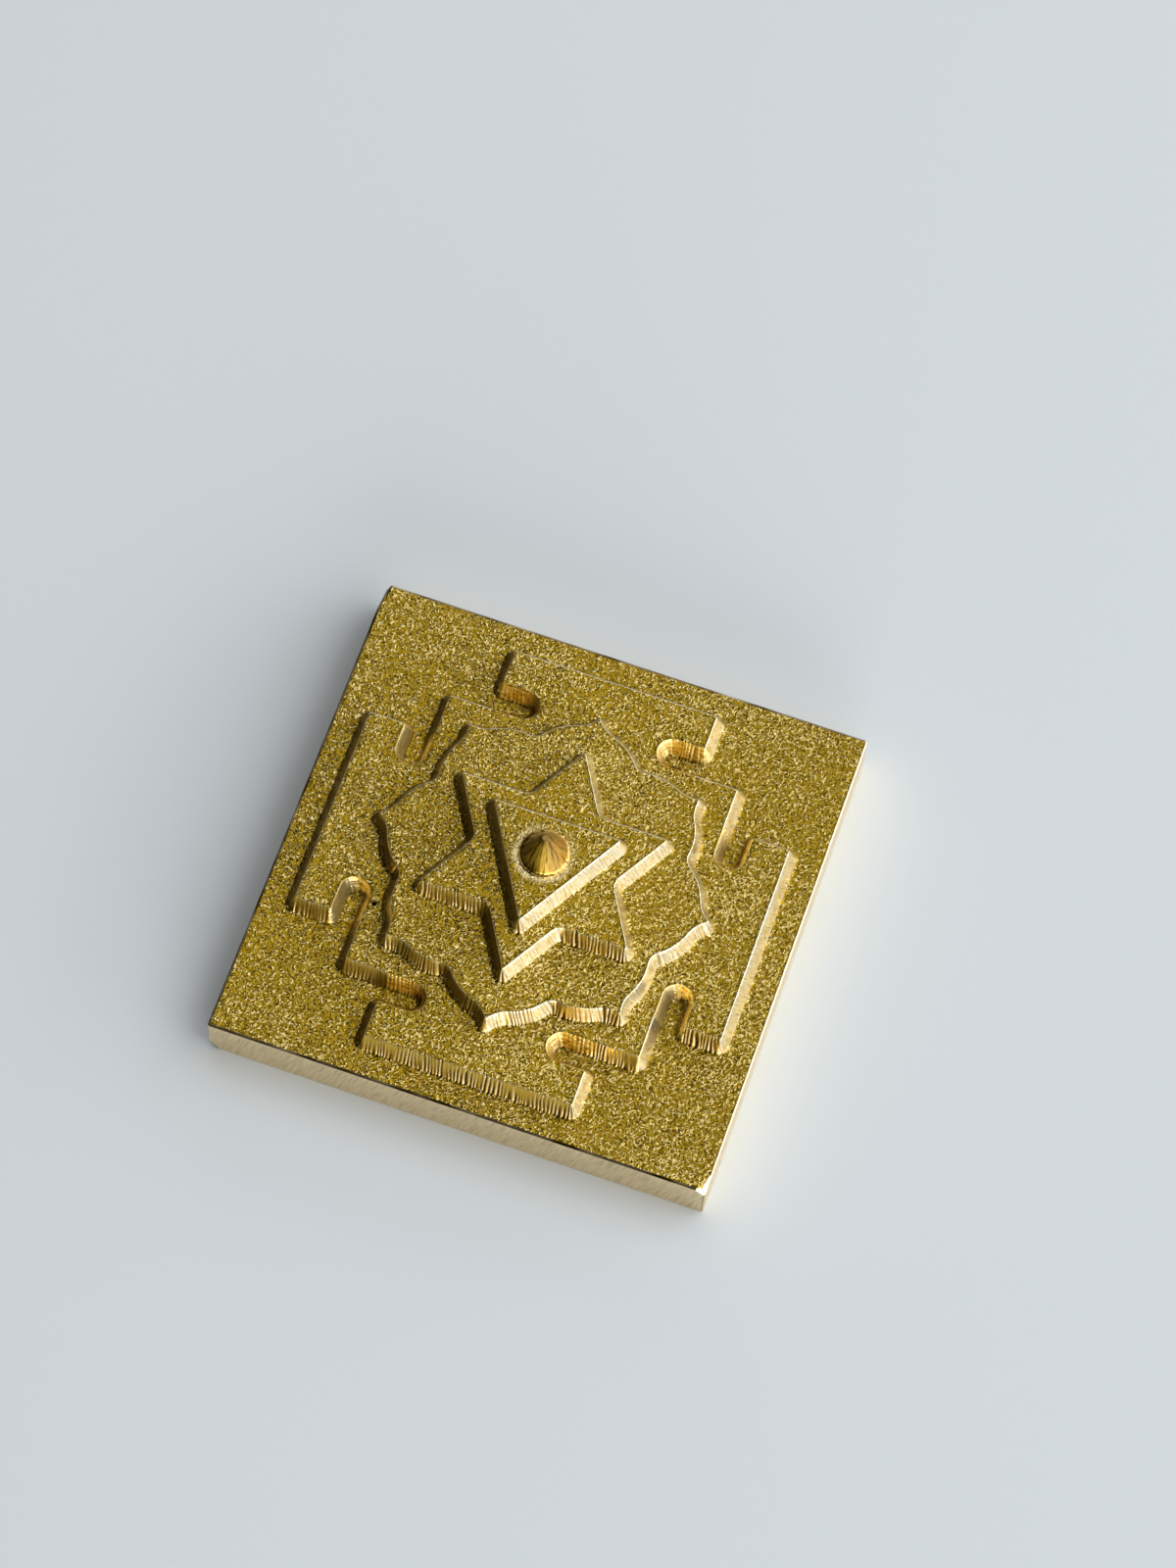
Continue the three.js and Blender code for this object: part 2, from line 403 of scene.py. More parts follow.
@dataclass(frozen=True)
class TornBrass:
    """Slot walls: amber brass with torn ledges where the cutter stepped in.

    The right-facing ones are painted a pale cream: a painted highlight, where they face the light.
    """

    name: str = "torn_brass"
    dark: str = "#8A6614"
    ground: str = "#D0AA40"
    bright: str = "#EAD48A"
    # A painted highlight: the pale cream of walls that face right, towards the light.
    cream: str = "#F6E6B0"
    highlight_way: tuple[float, float, float] = (1.0, -0.2, 0.0)
    ledge_mm: float = 0.2
    ledge_aspect: float = 0.35
    tear_mm: float = 0.16
    roughness: float = 0.4
    bump_mm: float = 0.07

    def build(self) -> bpy.types.Material:
        """Make the material.

        Returns:
            The material.
        """
        material, tree = new_material(self.name)
        ledges = leaning_lines(tree, lean=0.0, squeeze=1 / self.ledge_aspect,
                               size_mm=self.ledge_mm / self.ledge_aspect, detail=2.0, roughness=0.5)
        where = add_node(tree, "ShaderNodeTexCoord").outputs["Object"]
        tears = add_node(tree, "ShaderNodeTexNoise",
                         {"Scale": per_metre(self.tear_mm), "Detail": 2.0, "Roughness": 0.6},
                         {"Vector": where}).outputs["Fac"]
        height = add_node(tree, "ShaderNodeMix", {"data_type": "FLOAT", 0: 0.4},
                          {2: ledges, 3: tears}).outputs[0]
        amber = add_node(tree, "ShaderNodeValToRGB",
                         {"stops": [(0.36, self.dark), (0.48, self.ground), (0.62, self.bright)]},
                         {"Fac": height}).outputs["Color"]
        # A painted highlight: walls that face right are tinted pale cream, and rubbed is its share.
        rubbed = facing(tree, self.highlight_way, start=0.3, full=0.65, most=0.75)
        colour = add_node(tree, "ShaderNodeMix", {"data_type": "RGBA", 7: srgb(self.cream)},
                          {0: rubbed, 6: amber}).outputs[2]
        metal(tree, self.roughness, colour, height, self.bump_mm)
        return material


@dataclass(frozen=True)
class SawnBrass:
    """The plate's sides: brass as the saw left it, rubbed smooth and tan.

    Hair-fine saw lines lean across it and only just show.
    """

    name: str = "sawn_brass"
    line: str = "#C8B080"
    ground: str = "#E8D2A6"
    rubbed: str = "#F4E2BC"
    # The dark colour: painted shade along the plate's upper edges and at its right rim, and the darker
    # near right corner and knocked corners.
    dirt_and_shade: str = "#2C1F08"
    line_mm: float = 0.09
    line_squeeze: float = 0.05
    lean: float = -0.3
    roughness: float = 0.32
    bump_mm: float = 0.004

    def build(self) -> bpy.types.Material:
        """Make the material.

        Returns:
            The material.
        """
        material, tree = new_material(self.name)
        lines = leaning_lines(tree, self.lean, self.line_squeeze, self.line_mm, detail=3.0,
                              roughness=0.6)
        sawn = add_node(tree, "ShaderNodeValToRGB",
                        {"stops": [(0.3, self.line), (0.5, self.ground), (0.7, self.rubbed)]},
                        {"Fac": lines}).outputs["Color"]
        metal(tree, self.roughness, weathered_and_shaded(tree, sawn, self.rubbed, self.dirt_and_shade), lines,
              self.bump_mm)
        return material


@dataclass
class Finishes:
    """The brass finishes, each made once."""

    face: bpy.types.Material = field(default_factory=BlastedBrass().build)
    wall: bpy.types.Material = field(default_factory=MilledBrass().build)
    torn: bpy.types.Material = field(default_factory=TornBrass().build)
    cone: bpy.types.Material = field(default_factory=ScoredBrass().build)
    side: bpy.types.Material = field(default_factory=SawnBrass().build)

    def relief(self) -> dict[Zone, bpy.types.Material]:
        """Give the finishes of a milled level."""
        return {Zone.WALL: self.wall, Zone.FACE: self.face, Zone.TORN: self.torn}

    def bindu(self) -> dict[Zone, bpy.types.Material]:
        """Give the finishes of the raised centre point."""
        return {Zone.WALL: self.cone, Zone.FACE: self.cone}

    def plate(self) -> dict[Zone, bpy.types.Material]:
        """Give the finishes of the base plate."""
        return {Zone.WALL: self.side, Zone.FACE: self.face}


@dataclass(frozen=True)
class Bend:
    """One bend of a rim outline, turning about a centre from one outward direction to another.

    The radius is the one at the rim: above zero on an outer bend, which grows down the wall,
    and below zero on a hollow one, which shrinks.
    """

    centre: Vector
    radius: float
    start: Vector
    end: Vector


@dataclass(frozen=True)
class Station:
    """A place on a rim outline: the point, its outward direction, and the way along to it."""

    at: Vector
    out: Vector
    along: float


def polar(radius: float, degrees: float) -> Vector:
    """Give the point at an angle in degrees, anticlockwise from +X."""
    angle = math.radians(degrees)
    return Vector((radius * math.cos(angle), radius * math.sin(angle)))


def rotated(vector: Vector, angle: float) -> Vector:
    """Give a vector turned anticlockwise by an angle in radians."""
    return Matrix.Rotation(angle, 2) @ vector


def cross(a: Vector, b: Vector) -> float:
    """Give the cross product of two plane vectors."""
    return a.x * b.y - a.y * b.x


def outward(a: Vector, b: Vector) -> Vector:
    """Give the unit vector square to the edge from a to b, out of an anticlockwise outline."""
    edge = (b - a).normalized()
    return Vector((edge.y, -edge.x))


def meeting_point(a: Vector, from_a: float, b: Vector, from_b: float) -> Vector:
    """Find a point by its distances from two others.

    Args:
        a: The first point.
        from_a: The distance from it.
        b: The second point.
        from_b: The distance from that one.

    Returns:
        The one of the two such points that is to the left of the way from a to b.
    """
    gap = (b - a).length
    way = (b - a) / gap
    along = (from_a ** 2 - from_b ** 2 + gap ** 2) / (2 * gap)
    aside = math.sqrt(from_a ** 2 - along ** 2)
    return a + way * along + Vector((-way.y, way.x)) * aside


def polygon_bends(corners: list[tuple[Vector, float]]) -> list[Bend]:
    """Give the bends of a polygon.

    Args:
        corners: Each corner's point, and the radius of its bend at the rim.

    Returns:
        One bend for each corner.
    """
    bends = []
    for i, (point, radius) in enumerate(corners):
        start = outward(corners[i - 1][0], point)
        end = outward(point, corners[(i + 1) % len(corners)][0])
        signed = math.copysign(radius, cross(start, end))
        mitre = (start + end) / (1 + start.dot(end))
        bends.append(Bend(point - mitre * signed, signed, start, end))
    return bends


def chain_bends(circles: list[tuple[Vector, float]]) -> list[Bend]:
    """Give the bends of a chain of circles.

    Args:
        circles: Each circle's centre and radius, outer and hollow in turn. Each touches the next.

    Returns:
        One bend for each circle.
    """
    ways = [(there[0] - here[0]) / (here[1] - there[1])
            for here, there in zip(circles, circles[1:] + circles[:1])]
    return [Bend(*circle, ways[i - 1], ways[i]) for i, circle in enumerate(circles)]


def stations(bends: list[Bend], step: float, middle: float) -> tuple[list[Station], float]:
    """Walk a rim outline in short steps.

    Args:
        bends: The outline's bends, anticlockwise, with straight edges between them.
        step: The longest distance between two stations.
        middle: How far outside the rim the way along is measured.

    Returns:
        The stations, and the length of the whole way. Each point moved out along its own
        direction by one amount gives the outline of a milled wall at another height.
    """
    result: list[Station] = []
    along = 0.0
    for i, bend in enumerate(bends):
        turn = math.atan2(cross(bend.start, bend.end), bend.start.dot(bend.end))
        reach = abs(turn) * max(abs(bend.radius), abs(bend.radius + 2 * middle))
        pieces = max(FEWEST_PIECES_OF_A_BEND, math.ceil(reach / step))
        length = abs(turn) * abs(bend.radius + middle)
        for k in range(pieces):
            normal = rotated(bend.start, turn * k / pieces)
            result.append(Station(bend.centre + normal * bend.radius, normal,
                                  along + length * k / pieces))
        along += length
        following = bends[(i + 1) % len(bends)]
        here = bend.centre + bend.end * bend.radius
        there = following.centre + following.start * following.radius
        gap = (there - here).length
        if gap > TOUCHING:
            pieces = math.ceil(gap / step)
            result += [Station(here.lerp(there, k / pieces), bend.end, along + gap * k / pieces)
                       for k in range(pieces)]
            along += gap
    return result, along


@dataclass(frozen=True)
class Flutes:
    """The upright scallops that the cutter's teeth leave on a wall, of uneven width and depth.

    The cutter chattered most along the walls that face the near side, and less towards the left.
    Its marks are deep in patches, and their upper ends are ragged. A rate is how fast a pattern
    changes over a millimetre.
    """

    seed: int
    depth: float = 0.1
    pitch: float = 0.25
    lean: float = 0.1
    rise_rate: float = 0.3
    # How far the pitch wanders.
    wander: float = 0.9
    wander_rate: float = 1.7
    # How deep the marks are away from the near side, and how much they lose towards the left.
    calm: float = 0.25
    calm_left: float = 0.5
    left_mm: float = 8.0
    # How deep the patches are, how far they vary from that, and what they keep at least.
    patch_middle: float = 0.75
    patch_spread: float = 1.2
    patch_least: float = 0.15
    patch_rate: float = 2.3
    # How far up the wall the marks reach, how far that varies, and how fast they fade above it.
    top: float = 1.0
    top_spread: float = 1.1
    top_rate: float = 0.9
    top_least: float = 0.12
    top_fade: float = 3.0
    ragged: float = 0.5
    ragged_rate: float = 6.0
    patterns_apart: float = 9.0
    # The swell, from 0 to 1, at which the wall stands true. It is the mean one.
    mean_swell: float = 0.64
    # How soon a mark is deep enough to be stained, and how rubbed and how dirty it then is.
    stained: float = 1.4
    rub: float = 5.0
    rub_from: float = 0.7
    dirt_and_shade: float = 2.6
    dirt_narrow: float = 1.6

    def strength(self, place: Station, where: Vector, share: float) -> float:
        """Give how deep the marks are at a place, whatever way it faces.

        Args:
            place: The place on the outline.
            where: The point that the patterns are read at.
            share: The height above the foot, as a share of the wall's.

        Returns:
            From nearly 0 to 1.
        """
        patch = noise.noise(where * self.patch_rate + Vector((self.patterns_apart, 0, 0)))
        top = noise.noise(where * self.top_rate + Vector((0, self.patterns_apart, 0)))
        above = (self.top + self.top_spread * top
                 + self.ragged * noise.noise(where * self.ragged_rate) - share)
        return (clamp(self.patch_middle + self.patch_spread * patch, self.patch_least)
                * clamp(0.5 + self.top_fade * above, self.top_least)
                * (1 - self.calm_left * clamp(-place.at.x / self.left_mm)))

    def cut(self, place: Station, rise: float, height: float,
            total: float) -> tuple[float, float]:
        """Give how the wall is marked at a place.

        Args:
            place: The place on the outline.
            rise: The height above the foot.
            height: The wall's height.
            total: The outline's length, after which the marks repeat.

        Returns:
            How far the wall stands proud, and its wear, from 1 on a rubbed crest to -1 in a
            dirty groove.
        """
        turn = 2 * math.pi * (place.along + self.lean * rise) / total
        reach = total / (2 * math.pi)
        where = Vector((reach * math.cos(turn), reach * math.sin(turn),
                        self.seed + self.rise_rate * rise))
        count = round(total / self.pitch)
        phase = turn * count / 2 + self.wander * math.pi * noise.noise(where * self.wander_rate)
        swell = abs(math.sin(phase))
        chatter = self.calm + (1 - self.calm) * max(0.0, -place.out.y) ** 2
        strength = self.strength(place, where, rise / height)
        marked = min(1.0, self.stained * strength) * (chatter - self.calm) / (1 - self.calm)
        rubbed = self.rub * max(0.0, swell - self.rub_from)
        darkened = min(1.0, self.dirt_and_shade * max(0.0, 1 - self.dirt_narrow * swell))
        return (self.depth * chatter * strength * (swell - self.mean_swell),
                (rubbed - darkened) * marked)


@dataclass(frozen=True)
class Flank:
    """The side of a milled step: a small sweep at its foot, a leaning flank and a worn rim.

    It leans a little less than the cutter's wall angle, because the sweep takes up the rest. A lip
    is one more row, on the face behind the rim.
    """

    lean: float = math.radians(27.5)
    sweep_radius: float = 0.14
    rim_wear: float = 0.04
    foot_sink: float = 0.03
    foot_spread: float = 3.0
    sweep_rows: int = 7
    flank_rows: int = 4
    rim_rows: int = 3
    foot_strength: float = 0.1
    rim_strength: float = 0.5
    lip: float = 0.02

    def profile(self, height: float) -> list[tuple[float, float, float]]:
        """Draw the side from below its foot up to its rim.

        Args:
            height: The step's height.

        Returns:
            How far outside the rim, how high, and how strong the cutter's marks are, at each row.
        """
        turn = math.pi / 2 - self.lean
        out = height * math.tan(self.lean) + self.sweep_radius * math.tan(turn / 2)
        rows = [(out + self.foot_spread * self.foot_sink, -self.foot_sink, 0.0)]
        for k in range(self.sweep_rows + 1):
            share = k / self.sweep_rows
            rows.append((out - self.sweep_radius * math.sin(turn * share),
                         self.sweep_radius * (1 - math.cos(turn * share)),
                         self.foot_strength + (1 - self.foot_strength) * share))
        start_out, start_rise, _ = rows[-1]
        worn = self.rim_wear * math.tan(turn / 2)
        end_out, end_rise = worn * math.sin(self.lean), height - worn * math.cos(self.lean)
        for k in range(1, self.flank_rows + 1):
            share = k / self.flank_rows
            rows.append((start_out + (end_out - start_out) * share,
                         start_rise + (end_rise - start_rise) * share,
                         1 - (1 - self.rim_strength) * share))
        for k in range(1, self.rim_rows + 1):
            left = 1 - k / self.rim_rows
            rows.append((self.rim_wear * math.sin(turn * left) - worn,
                         height - self.rim_wear * (1 - math.cos(turn * left)),
                         self.rim_strength * left))
        if self.lip:
            rows.append((-worn - self.lip, height, 0.0))
        return rows


@dataclass(frozen=True)
class Cutter:
    """The tapered cutter that made the steps."""

    tip_radius: float = 0.34
    wall_angle: float = math.radians(30)

    def run(self, height: float) -> float:
        """Give how far a wall of this height leans out at its foot."""
        return height * math.tan(self.wall_angle)


@dataclass(frozen=True)
class Pit:
    """A small hollow in a face, where metal broke out."""

    at: tuple[float, float]
    radius: float
    depth: float
    steepness: int = 6

    def distance(self, point: Vector) -> float:
        """Give a point's distance from the pit's middle."""
        return (point - Vector(self.at)).length

    def sunk(self, point: Vector) -> float:
        """Give how deep the pit is at a point."""
        return self.depth / (1 + (self.distance(point) / self.radius) ** self.steepness)


@dataclass(frozen=True)
class Halo:
    """The pale patchy ring that a tool rubbed round the middle of a face."""

    radius: float
    width: float
    weak_way: tuple[float, float] = (0.3, 0.95)
    strength: float = 0.55
    weakening: float = 0.45
    patch: float = 0.4
    patch_mm: float = 0.4

    def wear(self, point: Vector) -> float:
        """Give the halo's wear at a point.

        Args:
            point: The point in plan, from the ring's centre.

        Returns:
            At most 1 on the ring, and below 0 outside it.
        """
        share = (point.length - self.radius) / self.width
        strength = self.strength - self.weakening * point.normalized().dot(Vector(self.weak_way))
        strength += self.patch * noise.noise(point.to_3d() / self.patch_mm)
        return min(1.0, strength * (1 - share ** 2))


@dataclass
class Ground:
    """The uneven upper face of a level: low waves, pits, and a darkening that grows to the right."""

    top: float
    rim: list[Vector]
    # The grid of points. Its jitter and its distance from the rim are shares of its step.
    step: float = 0.25
    jitter: float = 0.3
    rim_clear: float = 0.45
    seed: int = 5
    # The waves and ripples, which die away in a margin along the rim.
    wave_mm: float = 2.6
    wave_depth: float = 0.014
    ripple_mm: float = 0.7
    ripple_depth: float = 0.006
    margin: float = 0.5
    # The pits, and the rings of points round each, of which the reach is in radii.
    pits: tuple[Pit, ...] = ()
    pit_spokes: int = 12
    pit_rings: int = 4
    pit_reach: float = 1.5
    # The wear: how deep a rubbed place is worn, how much darker the whole face is, and the darkening
    # that grows to the right.
    halo: Halo | None = None
    rubbed_depth: float = 0.03
    dark_tint: float = 0.0
    right_darkening: float = 0.16
    right_darkening_mm: float = 16.0
    tree: KDTree = field(init=False)

    def __post_init__(self) -> None:
        """Index the rim, to tell how far a point is from it."""
        self.tree = KDTree(len(self.rim))
        for number, point in enumerate(self.rim):
            self.tree.insert(point.to_3d(), number)
        self.tree.balance()

    def from_rim(self, point: Vector) -> float:
        """Give a point's distance from the rim."""
        return self.tree.find(point.to_3d())[2]

    def inner(self) -> list[Vector]:
        """Spread points over the face.

        Returns:
            Points on a jittered grid, closer round each pit. Some may lie outside the rim.
        """
        source = random.Random(self.seed)
        count = math.ceil(max(abs(value) for point in self.rim for value in point) / self.step)
        points = []
        for i in range(-count, count + 1):
            for j in range(-count, count + 1):
                shift = Vector((source.uniform(-self.jitter, self.jitter),
                                source.uniform(-self.jitter, self.jitter)))
                points.append((Vector((i, j)) + shift) * self.step)
        turn = 360 / self.pit_spokes
        for pit in self.pits:
            points = [p for p in points if pit.distance(p) > self.pit_reach * pit.radius]
            points += [Vector(pit.at) + polar(pit.radius * ring / self.pit_rings, turn * (k + ring / 2))
                       for ring in range(1, round(self.pit_reach * self.pit_rings) + 1)
                       for k in range(self.pit_spokes)]
        return [p for p in points if self.from_rim(p) > self.rim_clear * self.step]

    def height(self, point: Vector) -> float:
        """Give the face's height.

        Args:
            point: The point in plan.

        Returns:
            The height of the face there, which is even along the rim.
        """
        at = Vector((point.x, point.y, self.top))
        wave = (self.wave_depth * noise.noise(at / self.wave_mm)
                + self.ripple_depth * noise.noise(at / self.ripple_mm))
        sunk = sum(pit.sunk(point) for pit in self.pits)
        sunk += self.rubbed_depth * max(0.0, self.wear(point))
        return self.top + min(1.0, self.from_rim(point) / self.margin) * wave - sunk

    def wear(self, point: Vector) -> float:
        """Give the face's wear.

        Args:
            point: The point in plan.

        Returns:
            From 1 where the face is rubbed pale to -1 where it is dirty in a pit; it is a little below
            0 where the face is darkened.
        """
        if any(pit.distance(point) < pit.radius for pit in self.pits):
            return -1.0
        darkened = -max(self.dark_tint, self.right_darkening * max(0.0, point.x / self.right_darkening_mm))
        return max(darkened, self.halo.wear(point)) if self.halo else darkened


class MeshMaker:
    """Collects points and faces in millimetres and makes the object that stands for a node."""

    def __init__(self, node: str, level: int) -> None:
        """Start an empty mesh.

        Args:
            node: The node that the piece stands for.
            level: The level's number, which sets its wall marks apart from the other levels'.
        """
        self.node = node
        self.level = level
        low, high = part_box(node)
        self.foot, self.top = low[2] / MM, high[2] / MM
        self.points: list[tuple[float, float, float]] = []
        self.marks: list[tuple[float, float, float]] = []
        self.faces: list[tuple[int, ...]] = []
        self.zones: list[Zone] = []

    def ring(self, points: list[Vector], height: float, alongs: list[float],
             wears: list[float]) -> list[int]:
        """Add a closed level ring of points.

        Args:
            points: The ring's points in plan.
            height: The ring's height above the foot.
            alongs: The way along to each point.
            wears: Each point's wear, from 1 where it is rubbed pale to -1 where it is dirty; painted
                shade is kept in it too, below 0.

        Returns:
            The numbers of the new points.
        """
        start = len(self.points)
        for point, along, wear in zip(points, alongs, wears):
            self.points.append((point.x, point.y, self.foot + height))
            self.marks.append((along + LEVELS_APART * self.level, height, wear))
        return list(range(start, len(self.points)))

    def plan(self, ring: list[int]) -> list[Vector]:
        """Give a ring's points in plan."""
        return [Vector(self.points[i][:2]) for i in ring]

    def wall(self, rings: list[list[int]], under: Zone = Zone.WALL,
             zone: Callable[[int, int], Zone] | None = None) -> None:
        """Close the lowest ring from below and join each ring to the next.

        Args:
            rings: The rings, lowest first.
            under: The finish of the closed underside.
            zone: Gives a quad's finish from its row, counted from the foot, and its station.
                Without it every quad is finished as a wall.
        """
        self.faces.append(tuple(reversed(rings[0])))
        self.zones.append(under)
        for row, (lower, upper) in enumerate(zip(rings, rings[1:])):
            for i in range(len(lower)):
                j = (i + 1) % len(lower)
                self.faces.append((lower[i], lower[j], upper[j], upper[i]))
                self.zones.append(zone(row, i) if zone else Zone.WALL)

    def lid(self, ring: list[int], ground: Ground) -> None:
        """Close a ring from above by an uneven face.

        Args:
            ring: The ring's point numbers, anticlockwise.
            ground: The face.
        """
        rim = self.plan(ring)
        edges = [(k, (k + 1) % len(rim)) for k in range(len(rim))]
        points, _, faces, origins, _, _ = delaunay_2d_cdt(rim + ground.inner(), edges, [], 1,
                                                          LID_TOLERANCE)
        numbers: dict[int, int] = {}
        for i in sorted({corner for face in faces for corner in face}):
            on_rim = [k for k in origins[i] if k < len(rim)]
            if on_rim:
                numbers[i] = ring[on_rim[0]]
                continue
            numbers[i] = len(self.points)
            self.points.append((points[i].x, points[i].y, ground.height(points[i])))
            self.marks.append((0.0, 0.0, ground.wear(points[i])))
        for face in faces:
            self.faces.append(tuple(numbers[i] for i in face))
            self.zones.append(Zone.FACE)

    def build(self, materials: dict[Zone, bpy.types.Material], slot: Slot) -> bpy.types.Object:
        """Make the object, dress it and enter it in the frame.

        Args:
            materials: The finish of each zone that the piece has.
            slot: The record's slot for the piece. It is not used.

        Returns:
            The object, in metres, riding on the root body in place of its node.
        """
        name = self.node + "_skin"
        mesh = bpy.data.meshes.new(name)
        mesh.from_pydata([(x * MM, y * MM, z * MM) for x, y, z in self.points], [], self.faces)
        for material in materials.values():
            mesh.materials.append(material)
        numbers = {zone: number for number, zone in enumerate(materials)}
        mesh.polygons.foreach_set("material_index", [numbers[zone] for zone in self.zones])
        mesh.polygons.foreach_set("use_smooth", [len(face) < 5 for face in self.faces])
        marks = mesh.attributes.new(CUT_MARKS, "FLOAT_VECTOR", "POINT")
        marks.data.foreach_set("vector", [value for triple in self.marks for value in triple])
        mesh.validate()
        piece = bpy.data.objects.new(name, mesh)
        bpy.context.scene.collection.objects.link(piece)
        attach(piece, ROOT)
        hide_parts(self.node)
        LOG.info("%s: %d points, %d faces", name, len(mesh.vertices), len(mesh.polygons))
        return piece


@dataclass(frozen=True)
class Slots:
    """The part of an outline that is in the gates' slots, by how far out and how far aside."""

    inner: float
    outer: float
    aside: float

    def hold(self, point: Vector) -> bool:
        """Tell whether a point of the outline is in a slot."""
        near, far = sorted((abs(point.x), abs(point.y)))
        return self.inner < far < self.outer and near < self.aside


@dataclass
class Level:
    """One milled level: a rim outline, a leaning wall and an uneven blasted face."""

    node: str
    number: int
    bends: list[Bend]
    cutter: Cutter
    finishes: Finishes
    flank: Flank = Flank()
    pits: tuple[Pit, ...] = ()
    halo: Halo | None = None
    slots: Slots | None = None
    flute_seed: int = 17
    step: float = 0.034
    # How far the blasting runs up a wall that faces left, as a share of its height.
    blasted_foot: float = 0.4
    # Painted shade: how dark the line painted on a rim that faces right is, and how dark a wall that
    # faces left is painted.
    rim_shade: float = 0.55
    shade: float = 0.55
    # How ragged the foot is, and how far the whole wall wavers.
    foot_ragged: float = 0.06
    ragged_mm: float = 0.25
    waver: float = 0.012
    waver_mm: float = 0.6
    waver_rise_rate: float = 3.0

    def zone(self, place: Station, row: int, share: float) -> Zone:
        """Give the finish of a wall at a place.

        Args:
            place: The place on the outline.
            row: The row, counted from the foot.
            share: How high the row is, from 0 to 1.

        Returns:
            Blasted at the foot and on top, torn inside the slots, and milled elsewhere.
        """
        blasted_to = self.blasted_foot * max(0.0, -place.out.x)
        if row <= self.flank.sweep_rows or share < blasted_to or share >= 1:
            return Zone.FACE
        return Zone.TORN if self.slots and self.slots.hold(place.at) else Zone.WALL

    def uneven(self, place: Station, rise: float, ragged: float) -> float:
        """Give how far a wall stands out of true.

        Args:
            place: The place on the outline.
            rise: The height above the foot.
            ragged: How ragged the wall is there, from 0 to 1.

        Returns:
            The distance outwards.
        """
        at = place.at.to_3d()
        waver = noise.noise(at / self.waver_mm + Vector((0, 0, self.waver_rise_rate * rise)))
        return self.waver * waver + self.foot_ragged * ragged * noise.noise(at / self.ragged_mm)

    def dirt_and_shade(self, place: Station, share: float) -> float:
        """Give the shade painted on a wall, apart from its flutes.

        Args:
            place: The place on the outline.
            share: The height above the foot, as a share of the wall's.

        Returns:
            Over 0 on the upper half of a wall that faces left, and on a rim that faces right: painted
            shade on both.
        """
        shaded = self.shade * max(0.0, -place.out.x) * min(1.0, 2 * share)
        return max(shaded, self.rim_shade * place.out.x if share >= 1 else 0.0)

    def build(self) -> bpy.types.Object:
        """Draw the level over its node.

        Returns:
            The piece.
        """
        maker = MeshMaker(self.node, self.number)
        height = maker.top - maker.foot
        places, total = stations(self.bends, self.step, self.cutter.run(height) / 2)
        alongs = [place.along for place in places]
        flutes = Flutes(self.flute_seed * self.number)
        profile = self.flank.profile(height)
        rings = []
        for out, rise, strength in profile:
            share = rise / height
            points, wears = [], []
            for place in places:
                proud, wear = flutes.cut(place, rise, height, total)
                uneven = self.uneven(place, rise, 1 - strength if share < 0.5 else 0.0)
                points.append(place.at + place.out * (out + strength * proud + uneven))
                # The painted shade on walls that face left and on rims that face right goes into the
                # wear.
                wears.append(min(wear, -self.dirt_and_shade(place, share)))
            rings.append(maker.ring(points, rise, alongs, wears))
        maker.wall(rings, Zone.FACE, lambda row, i: self.zone(places[i], row, profile[row][1] / height))
        maker.lid(rings[-1], Ground(maker.top, maker.plan(rings[-1]), pits=self.pits, halo=self.halo))
        return maker.build(self.finishes.relief(), Slot.RELIEF)


@dataclass(frozen=True)
class Knock:
    """A flat that a knock left on a corner, beyond which the metal is pressed in."""

    corner: Vector
    way: Vector
    depth: float
    wear: float
    uneven: float = 0.02
    uneven_mm: float = 0.25

    def press(self, maker: MeshMaker) -> None:
        """Press a piece's points in to the flat, which stays a little uneven.

        Args:
            maker: The piece, with all its points.
        """
        way = self.way.normalized()
        flat = self.corner - way * self.depth
        for number, where in enumerate(maker.points):
            point = Vector(where)
            over = (point - flat).dot(way)
            if over > 0:
                over += self.uneven * abs(noise.noise(point / self.uneven_mm))
                maker.points[number] = (point - way * over).to_tuple()
                maker.marks[number] = (*maker.marks[number][:2], self.wear)


